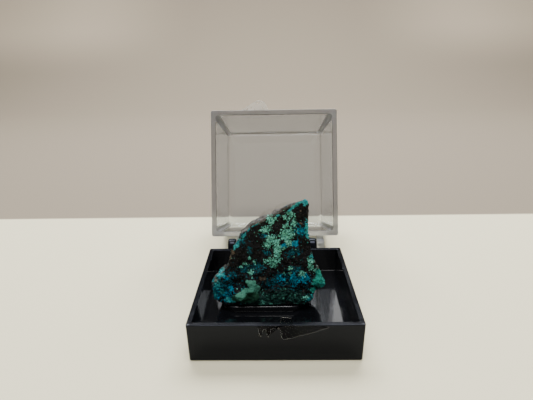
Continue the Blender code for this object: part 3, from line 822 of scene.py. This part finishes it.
def floor_material(settings):
    """A pale, plain surface whose far part is the backdrop's tone, with painted light making the backdrop's
    near part and upper corners lighter.
    """
    material, tree, shader = new_material("stage_floor")
    split = add_node(tree, "ShaderNodeSeparateXYZ", {"Vector": object_place(tree)})
    across, deep, up = (split.outputs[axis] for axis in "XYZ")
    far_colour = Vector(settings.backdrop_colour)
    # Painted light: the backdrop made lighter near the table, and at its upper corners where less light falls
    # on it
    away = remap(tree, deep, TABLE_END[0], BACKDROP_FAR)
    backdrop = blend_colour(tree, away, far_colour * settings.backdrop_near_painted_light, far_colour)
    beside = remap(tree, math_node(tree, "ABSOLUTE", across), *CORNER_ACROSS)
    corner = math_node(tree, "MULTIPLY", beside, remap(tree, up, *CORNER_HEIGHT))
    backdrop = blend_colour(tree, corner, backdrop, far_colour * settings.backdrop_corner_painted_light)
    colour = blend_colour(tree, remap(tree, deep, *TABLE_END), settings.floor_colour, backdrop)
    give(tree, shader, {"Base Color": colour, "Roughness": 0.75, "Specular IOR Level": 0.25})
    return material


# The stone


def facet_push(point, size, seed):
    """How far a tilted facet of about that size lifts the surface there, as a share of its depth."""
    shifted = point / size + Vector((seed, seed, seed))
    centre = noise.voronoi(shifted)[1][0]
    tilt = noise.cell_vector(centre * 17.0) - Vector((0.5, 0.5, 0.5))
    level = noise.cell(centre * 29.0) - 0.5
    return (shifted - centre).dot(tilt) * FACET_TILT + level * FACET_STEP


def crust_field(points, patch):
    """A field over the face that is 1 in the middle of the patch, 0.5 at its edge and 0 well outside."""
    x, z, half_x, half_z, turn = patch
    across, up = points[:, 0] - x, points[:, 2] - z
    c, s = cos(radians(turn)), sin(radians(turn))
    along = (across * c + up * s) / half_x
    beside = (up * c - across * s) / half_z
    return np.clip(1.0 - 0.5 * np.sqrt(along**2 + beside**2), 0.0, 1.0)


def write_field(mesh, name, values):
    layer = mesh.attributes.new(name, "FLOAT", "POINT")
    layer.data.foreach_set("value", values.astype(np.float32))


def mesh_vectors(collection, count, name):
    vectors = np.zeros(count * 3, np.float32)
    collection.foreach_get(name, vectors)
    return vectors.reshape(-1, 3).astype(float)


def behind_face(points):
    """How far each point lies behind the leaning face."""
    return points[:, 1] - FACE_FOOT_Y - (points[:, 2] - FACE_FOOT_Z) * tan(FACE_LEAN)


def ramp(values, low, high):
    """0 at low and 1 at high, straight between them."""
    return np.clip((values - low) / (high - low), 0.0, 1.0)


def crust_fields(points, normals):
    """Every kind of crust as a field over the stone's skin."""
    depth = behind_face(points)
    front = ramp(depth - FOOT_WRAP * ramp(points[:, 2], *FOOT_HEIGHTS), *FRONT_DEPTHS)
    fields = {}
    for kind, patches in CRUST.items():
        fields[kind] = np.max([crust_field(points, patch) for patch in patches], axis=0) * front
    # More flecks low on the face
    low = ramp(points[:, 2], *FLECK_HEIGHTS)
    fields["flecks"] = front * (0.26 + 0.2 * low) + (1.0 - front) * 0.3
    # Grey behind the face, paler as painted top light where the skin faces up high on the stone, and grey in
    # a band below the upper left edge
    up = ramp(normals[:, 2], *TOP_LIGHT_SLOPES)
    high = ramp(points[:, 2], *TOP_LIGHT_HEIGHTS)
    behind = ramp(depth, *GREY_DEPTHS) * (0.25 + 0.75 * up * high)
    ridge_x, ridge_z = zip(*RIDGE)
    below_ridge = np.interp(points[:, 0], ridge_x, ridge_z) - points[:, 2]
    along = ramp(points[:, 0], *RIDGE_LEFT) * ramp(points[:, 0], *RIDGE_RIGHT)
    band = ramp(below_ridge, RIDGE_BAND + RIDGE_SOFTNESS, RIDGE_BAND - RIDGE_SOFTNESS) * along
    fields["grey_and_top_light"] = np.maximum(behind, band)
    return fields


def lift_ridge(points):
    """Raises the upper left edge, which the even skin rounds off, to its line."""
    ridge_x, ridge_z = np.array(RIDGE).T
    count = int((ridge_x[-1] - ridge_x[0]) / RIDGE_STEP) + 1
    column = np.floor((points[:, 0] - ridge_x[0]) / RIDGE_STEP).astype(int)
    on_ridge = (column >= 0) & (column < count)
    tops = np.zeros(count)
    np.maximum.at(tops, column[on_ridge], points[on_ridge, 2])
    middles = ridge_x[0] + (np.arange(count) + 0.5) * RIDGE_STEP
    gaps = np.clip(np.interp(middles, ridge_x, ridge_z) - tops, 0.0, 1.0)
    gaps = np.convolve(np.pad(gaps, 1, mode="edge"), np.full(3, 1 / 3), mode="valid")
    below_top = np.interp(points[:, 0], middles, tops) - points[:, 2]
    ends = ramp(points[:, 0], ridge_x[0] - 0.5, ridge_x[0] + 0.5)
    points[:, 2] += np.interp(points[:, 0], middles, gaps) * ramp(below_top, 2.4, 0.5) * ends


def flatten_face(points, calm):
    """Draws the front's points towards the leaning face, but for the smooth lump that stands proud."""
    depth = behind_face(points)
    front = ramp(depth, *FLATTENED_DEPTHS)
    points[:, 1] -= depth * FACE_FLATTENING * front * (1.0 - calm)


def roughen(points, normals, calm, edge, settings):
    """Breaks the skin into tilted facets, grains and small pits, less on the smooth lump and the edge."""
    seed = settings.seed * 11.0
    size, depth = settings.facet_size / MM, settings.facet_depth / MM
    pit_shift = Vector((7.0, 1.0, 3.0))
    lifts = np.zeros(len(points))
    for index, point in enumerate(points):
        place = Vector(point)
        lift = depth * facet_push(place, size, seed)
        lift += depth * SMALL_FACET_DEPTH * facet_push(place, size * SMALL_FACET_SIZE, seed + 5.0)
        lift += GRAIN_DEPTH * noise.noise(place / GRAIN_SIZE)
        lift -= PIT_DEPTH * max(0.0, noise.noise(place / PIT_SIZE + pit_shift) - PIT_START)
        lifts[index] = lift
    rest = ramp(points[:, 2], STONE_LOW.z, STONE_LOW.z + 1.0)
    lifts *= (1.0 - 0.5 * calm) * (1.0 - 0.6 * edge) * (0.25 + 0.75 * rest)
    points += normals * (lifts + SKIN_OFFSET * rest)[:, None]
    points[:, 2] = np.maximum(points[:, 2], STONE_LOW.z)
    np.clip(points, np.array(STONE_LOW) - PAST_SOLID, np.array(STONE_HIGH) + PAST_SOLID, out=points)


class SPECIMEN_OT_stone(Operator):
    """Grows the stone's fine broken skin over its solid and marks where each crust lies"""

    bl_idname = "specimen.stone"
    bl_label = "Stone"

    def execute(self, context):
        settings = context.scene.specimen_stone
        stone = new_piece("chrysocolla_stone", frame["nodes"]["chrysocolla"].data.copy())
        stone.data.transform(Matrix.Scale(1 / MM, 4))
        remesh = stone.modifiers.new("even skin", "REMESH")
        remesh.mode = "VOXEL"
        remesh.voxel_size = settings.grain / MM
        soften = stone.modifiers.new("soften", "SMOOTH")
        soften.factor = 0.5
        soften.iterations = 4
        apply_modifiers(stone)
        mesh = stone.data
        points = mesh_vectors(mesh.vertices, len(mesh.vertices), "co")
        normals = mesh_vectors(mesh.vertex_normals, len(mesh.vertices), "vector")
        lift_ridge(points)
        fields = crust_fields(points, normals)
        # The pale lump stays smooth out to its edge
        calm = np.clip(fields["mint"] * 2.2, 0.0, 1.0)
        flatten_face(points, calm)
        edge = fields["grey_and_top_light"] * (points[:, 2] > CALM_ABOVE)
        roughen(points, normals, calm, edge, settings)
        mesh.vertices.foreach_set("co", points.astype(np.float32).ravel())
        mesh.update()
        for name, values in fields.items():
            write_field(mesh, name, values)
        mesh.shade_smooth()
        finished(stone, "base", "chrysocolla_crust", stone_material(settings), "chrysocolla")
        return {"FINISHED"}


# The putty


def rounded_outline(low, high, radius, steps):
    """Points round a rectangle with round corners."""
    corners = (
        (high.x - radius, high.y - radius), (low.x + radius, high.y - radius),
        (low.x + radius, low.y + radius), (high.x - radius, low.y + radius),
    )
    points = []
    for corner, (x, y) in enumerate(corners):
        for step in range(steps + 1):
            angle = radians(90 * corner + 90 * step / steps)
            points.append((x + radius * cos(angle), y + radius * sin(angle)))
    return points


class SPECIMEN_OT_putty(Operator):
    """Presses the putty pad out between the tray's floor and the stone"""

    bl_idname = "specimen.putty"
    bl_label = "Putty"

    def execute(self, context):
        floor = context.scene.specimen_box.tray_floor / MM
        outline = rounded_outline(PUTTY_LOW, PUTTY_HIGH, PUTTY_CORNER, 24)
        centre = (PUTTY_LOW + PUTTY_HIGH) / 2
        top = PUTTY_HIGH.z
        # How far in from the outline, and how high, from the floor to the middle of the top
        profile = [(0.12, floor - 0.01), (0.02, floor + 0.12), (0.0, floor + 0.45)]
        for step in range(PUTTY_STEPS + 1):
            angle = radians(90 * step / PUTTY_STEPS)
            profile.append((PUTTY_EDGE * (1 - cos(angle)), top - PUTTY_EDGE * (1 - sin(angle))))
        profile += [(1.0, top + 0.02), (2.2, STONE_LOW.z + 0.12)]
        bm = bmesh.new()
        rings = []
        for inward, height in profile:
            ring = []
            for x, y in outline:
                away = Vector((x - centre.x, y - centre.y))
                inner = away * (1 - inward / away.length)
                wave = noise.noise(Vector((x, y, 0)) / PUTTY_WAVE_SIZE) if height > floor + 0.2 else 0.0
                across, deep = centre.x + inner.x, centre.y + inner.y + 0.05 * wave
                ring.append(bm.verts.new((across, deep, height + 0.06 * wave)))
            rings.append(ring)
        join_rings(bm, rings)
        bm.faces.new(reversed(rings[0]))
        bm.faces.new(rings[-1])
        putty = from_bmesh("mounting_putty", bm)
        shade(putty, 60)
        finished(putty, "base", "black_putty", putty_material(), "putty_pad")
        return {"FINISHED"}


# The box


def lug_shape(x):
    """One bored lug with its web to the tray's wall, its edges eased."""
    half = LUG_WIDTH / 2
    centre = Vector((x, AXIS.y, AXIS.z))
    disc = rod_x(centre, LUG_RADIUS, LUG_WIDTH)
    round_edges(disc, cap_edges(disc), LUG_EDGE_RADIUS, 5)
    lug = from_bmesh("lug", disc)
    web = block(
        (x - half + WEB_INSET, BOX_HALF - WEB_ROOT, AXIS.z - LUG_RADIUS * WEB_BOTTOM),
        (x + half - WEB_INSET, AXIS.y, AXIS.z - LUG_RADIUS * WEB_TOP),
    )
    round_edges(web, list(web.edges), EASED_EDGE, 2)
    join_shape(lug, from_bmesh("web", web), "UNION")
    join_shape(lug, from_bmesh("bore", rod_x(centre, BORE_RADIUS, LUG_WIDTH * 2)), "DIFFERENCE")
    return lug


class SPECIMEN_OT_tray(Operator):
    """Moulds the black tray with its bored lugs"""

    bl_idname = "specimen.tray"
    bl_label = "Tray"

    def execute(self, context):
        settings = context.scene.specimen_box
        wall, floor = settings.tray_wall / MM, settings.tray_floor / MM
        bm = open_box(BOX_SIDE, RIM_HEIGHT, TRAY_DRAFT, wall, floor, TRAY_CORNERS, TRAY_FEET)
        tray = from_bmesh("moulded_tray", bm)
        for x in LUG_CENTRES_X:
            join_shape(tray, lug_shape(x), "UNION")
        put_in_order(tray)
        shade(tray)
        finished(tray, "base", "black_styrene", tray_outside_material(settings), "tray")
        tray.data.materials.append(tray_inside_material(settings))
        reach = (BOX_HALF - wall / 2) * MM
        for face in tray.data.polygons:
            x, y, z = face.center
            if max(abs(x), abs(y)) < reach and floor - 0.5 < z / MM < RIM_HEIGHT - 2 * RIM_EDGE:
                face.material_index = 1
        return {"FINISHED"}


def closed_place():
    """From a shape whose rim is at z = 0 to the closed lid, about the hinge's axis."""
    return Matrix.Translation((0, -AXIS.y, RIM_ABOVE_AXIS + CLOSED_GAP))


def open_place():
    """From the closed lid about its axis to where it stands open."""
    return Matrix.Translation(AXIS) @ Matrix.Rotation(-OPEN_ANGLE, 4, "X")


def knuckle_shapes(lug_x, wall):
    """The solids that one knuckle adds to the lid, its pin among them, about the hinge's axis."""
    low_x = lug_x + LUG_WIDTH / 2 + KNUCKLE_SIDE_GAP
    high_x = low_x + KNUCKLE_WIDTH
    middle = Vector(((low_x + high_x) / 2, 0, 0))
    disc = rod_x(middle, KNUCKLE_RADIUS, KNUCKLE_WIDTH)
    round_edges(disc, cap_edges(disc), EASED_EDGE, 3)
    arm_low = RIM_ABOVE_AXIS + CLOSED_GAP
    arm = block(
        (low_x + ARM_INSET, -WALL_BEFORE_AXIS - wall / 2, arm_low + ARM_ABOVE_RIM),
        (high_x - ARM_INSET, 0, arm_low + ARM_HEIGHT),
    )
    heel = block(
        (low_x + HEEL_INSET, STOP_GAP - WALL_BEFORE_AXIS, -KNUCKLE_RADIUS),
        (high_x - HEEL_INSET, 0, HEEL_THICKNESS - KNUCKLE_RADIUS),
    )
    bmesh.ops.rotate(heel, matrix=Matrix.Rotation(OPEN_ANGLE, 3, "X"), verts=heel.verts)
    pin_end = lug_x - LUG_WIDTH / 2 + PIN_SHORT_OF_FACE
    pin = rod_x(Vector(((pin_end + middle.x) / 2, 0, 0)), PIN_RADIUS, middle.x - pin_end)
    round_edges(pin, cap_edges(pin), EASED_EDGE, 2)
    return disc, arm, heel, pin


class SPECIMEN_OT_lid(Operator):
    """Moulds the clear lid with its knuckles, and stands it open"""

    bl_idname = "specimen.lid"
    bl_label = "Lid"

    def execute(self, context):
        settings = context.scene.specimen_box
        depth, wall = settings.lid_depth / MM, settings.lid_wall / MM
        bm = open_box(BOX_SIDE, depth, LID_DRAFT, wall, wall, LID_CORNERS, LID_FEET)
        bmesh.ops.rotate(bm, matrix=Matrix.Rotation(pi, 3, "Y"), verts=bm.verts)
        bmesh.ops.translate(bm, vec=(0, 0, depth), verts=bm.verts)
        bmesh.ops.transform(bm, matrix=closed_place(), verts=bm.verts)
        lid = from_bmesh("clear_lid", bm)
        for lug_x in LUG_CENTRES_X:
            for solid in knuckle_shapes(lug_x, wall):
                join_shape(lid, from_bmesh("knuckle", solid), "UNION")
        lid.data.transform(open_place())
        put_in_order(lid)
        shade(lid)
        finished(lid, "lid", "clear_styrene", lid_material(settings), "lid")
        return {"FINISHED"}


# The tape


def drawn_in(outline, width):
    """The outline, which runs clockwise or not, moved inwards by width with mitred corners."""
    points = [Vector(point) for point in outline]
    area = sum(a.cross(b) for a, b in zip(points, points[1:] + points[:1]))
    side = 1.0 if area > 0 else -1.0
    moved = []
    for before, here, after in zip(points[-1:] + points[:-1], points, points[1:] + points[:1]):
        first, second = (here - before).normalized(), (after - here).normalized()
        inward = Vector((-first.y, first.x)) * side
        middle = (inward + Vector((-second.y, second.x)) * side).normalized()
        mitre = min(MITRE_LIMIT, 1.0 / max(NARROWEST_MITRE, middle.dot(inward)))
        moved.append(here + middle * width * mitre)
    return moved


def film(name, outline, thickness, torn_width, haze, cut_height=None):
    """A thin sheet in the plane y = 0 with that outline, marked by haze, partly painted highlight, where its
    torn edge runs.

    Its points near cut_height were cut clean and aren't marked.
    """
    bm = bmesh.new()
    torn = bm.verts.layers.float.new("torn")
    rings = []
    for width, share in ((0.0, haze), (torn_width, haze), (torn_width * HAZE_FADE, 0.0)):
        ring = [bm.verts.new((x, 0, z)) for x, z in drawn_in(outline, width)]
        for vert, (_, z) in zip(ring, outline):
            cut = cut_height is not None and abs(z - cut_height) < CLEAN_CUT_REACH
            vert[torn] = 0.0 if cut else share
        rings.append(ring)
    join_rings(bm, rings)
    bmesh.ops.triangulate(bm, faces=[bm.faces.new(rings[-1])])
    obj = from_bmesh(name, bm)
    solid = obj.modifiers.new("thickness", "SOLIDIFY")
    solid.thickness = thickness
    solid.offset = 0.0
    return apply_modifiers(obj)


class SPECIMEN_OT_tape(Operator):
    """Lays the two torn strips of clear tape on the fronts of the tray and the lid"""

    bl_idname = "specimen.tape"
    bl_label = "Tape"

    def execute(self, context):
        settings = context.scene.specimen_box
        thick = settings.tape_thickness / MM
        on_front = Matrix.Translation((0, -BOX_HALF - thick, 0))
        front = film("torn_front_tape", FRONT_TAPE_OUTLINE, thick, TORN_WIDTH, FRONT_HAZE, RIM_HEIGHT)
        front.data.transform(on_front)
        grimy = tape_material("clear_tape_on_black", (0.78, 0.78, 0.79))
        finished(front, "base", "clear_tape", grimy, "front_tape")

        strip = film("torn_lid_tape", LID_TAPE_OUTLINE, thick, FLAP_TORN_WIDTH, LID_HAZE)
        flap = film("flap", LID_FLAP_OUTLINE, thick, FLAP_TORN_WIDTH, LID_HAZE)
        root = Matrix.Translation((0, -thick / 4, FLAP_ROOT_HEIGHT))
        flap.data.transform(root @ Matrix.Rotation(FLAP_TILT, 4, "X"))
        join_shape(strip, flap, "UNION")
        strip.data.transform(open_place() @ closed_place() @ on_front)
        clear = tape_material("clear_tape", (0.95, 0.95, 0.94))
        finished(strip, "lid", "clear_tape", clear, "lid_tape")
        return {"FINISHED"}


# The stage


def area_light(name, power):
    """One of the stage's lights, turned to what it faces."""
    place, target, size = LIGHTS[name]
    light = bpy.data.lights.new(name, "AREA")
    light.shape = "RECTANGLE"
    light.size, light.size_y = size
    light.energy = power
    obj = bpy.data.objects.new(name, light)
    obj.location = place
    obj.rotation_euler = (Vector(target) - Vector(place)).to_track_quat("-Z", "Y").to_euler()
    bpy.context.scene.collection.objects.link(obj)
    return obj


def swept_floor():
    """A floor that curves up into a low backdrop, far behind the box."""
    profile = [(-FLOOR_REACH, 0.0), (CURVE_START, 0.0)]
    for step in range(1, CURVE_STEPS + 1):
        angle = radians(CURVE_DEGREES * step / CURVE_STEPS)
        profile.append((CURVE_START + CURVE_RADIUS * sin(angle), CURVE_RADIUS * (1 - cos(angle))))
    bm = bmesh.new()
    rows = [[bm.verts.new((x, y, z)) for x in (-FLOOR_REACH, FLOOR_REACH)] for y, z in profile]
    for near, far in zip(rows, rows[1:]):
        bm.faces.new((near[0], near[1], far[1], far[0]))
    return from_bmesh("stage_floor", bm)


class SPECIMEN_OT_stage(Operator):
    """Sets the pale floor with its backdrop, the soft lights, the room's light and the camera"""

    bl_idname = "specimen.stage"
    bl_label = "Stage"

    def execute(self, context):
        settings = context.scene.specimen_stage
        floor = swept_floor()
        floor.data.shade_smooth()
        floor.data.materials.append(floor_material(settings))

        area_light("overhead", settings.overhead_power)
        area_light("behind", settings.back_power)
        area_light("backdrop_wash", settings.wash_power)
        # This one stands in the camera's view, so it is hidden there and shows in mirrors alone
        area_light("window", settings.window_power).visible_camera = False

        world = bpy.data.worlds.new("room")
        world.use_nodes = True
        tree = world.node_tree
        direction = add_node(tree, "ShaderNodeTexCoord").outputs["Generated"]
        split = add_node(tree, "ShaderNodeSeparateXYZ", {"Vector": direction})
        strength = remap(tree, split.outputs["Y"], -0.5, 0.3, settings.room_front, settings.room_back)
        give(tree, tree.nodes["Background"], {"Color": ROOM_COLOUR, "Strength": strength})
        context.scene.world = world

        camera = bpy.data.objects.new("camera", bpy.data.cameras.new("camera"))
        camera.data.lens = settings.lens
        camera.data.sensor_width = SENSOR_WIDTH
        camera.data.clip_start = 1 * MM
        camera.data.clip_end = 10.0
        turn = Euler((pi / 2 - settings.pitch, 0, settings.yaw)).to_matrix()
        turn = turn @ Matrix.Rotation(settings.roll, 3, "Z")
        camera.matrix_world = Matrix.Translation(settings.camera_place) @ turn.to_4x4()
        context.scene.collection.objects.link(camera)
        context.scene.camera = camera
        return {"FINISHED"}


class VIEW3D_PT_specimen(Panel):
    """Lists the pieces of the boxed specimen"""

    bl_label = "Boxed specimen"
    bl_idname = "VIEW3D_PT_specimen"
    bl_space_type = "VIEW_3D"
    bl_region_type = "UI"
    bl_category = "Specimen"

    def draw(self, context):
        for operator in OPERATORS:
            self.layout.operator(operator.bl_idname)
        for group in (context.scene.specimen_box, context.scene.specimen_stone, context.scene.specimen_stage):
            column = self.layout.column()
            for name in group.bl_rna.properties.keys():
                if name not in ("rna_type", "name"):
                    column.prop(group, name)


OPERATORS = (
    SPECIMEN_OT_stone,
    SPECIMEN_OT_putty,
    SPECIMEN_OT_tray,
    SPECIMEN_OT_lid,
    SPECIMEN_OT_tape,
    SPECIMEN_OT_stage,
)
CLASSES = (BoxSettings, StoneSettings, StageSettings, *OPERATORS, VIEW3D_PT_specimen)


def register():
    for cls in CLASSES:
        bpy.utils.register_class(cls)
    bpy.types.Scene.specimen_box = PointerProperty(type=BoxSettings)
    bpy.types.Scene.specimen_stone = PointerProperty(type=StoneSettings)
    bpy.types.Scene.specimen_stage = PointerProperty(type=StageSettings)


def unregister():
    del bpy.types.Scene.specimen_stage
    del bpy.types.Scene.specimen_stone
    del bpy.types.Scene.specimen_box
    for cls in reversed(CLASSES):
        bpy.utils.unregister_class(cls)


def main():
    register()
    bpy.ops.specimen.stone()
    bpy.ops.specimen.putty()
    bpy.ops.specimen.tray()
    bpy.ops.specimen.lid()
    bpy.ops.specimen.tape()
    bpy.ops.specimen.stage()


if __name__ == "__main__":
    main()
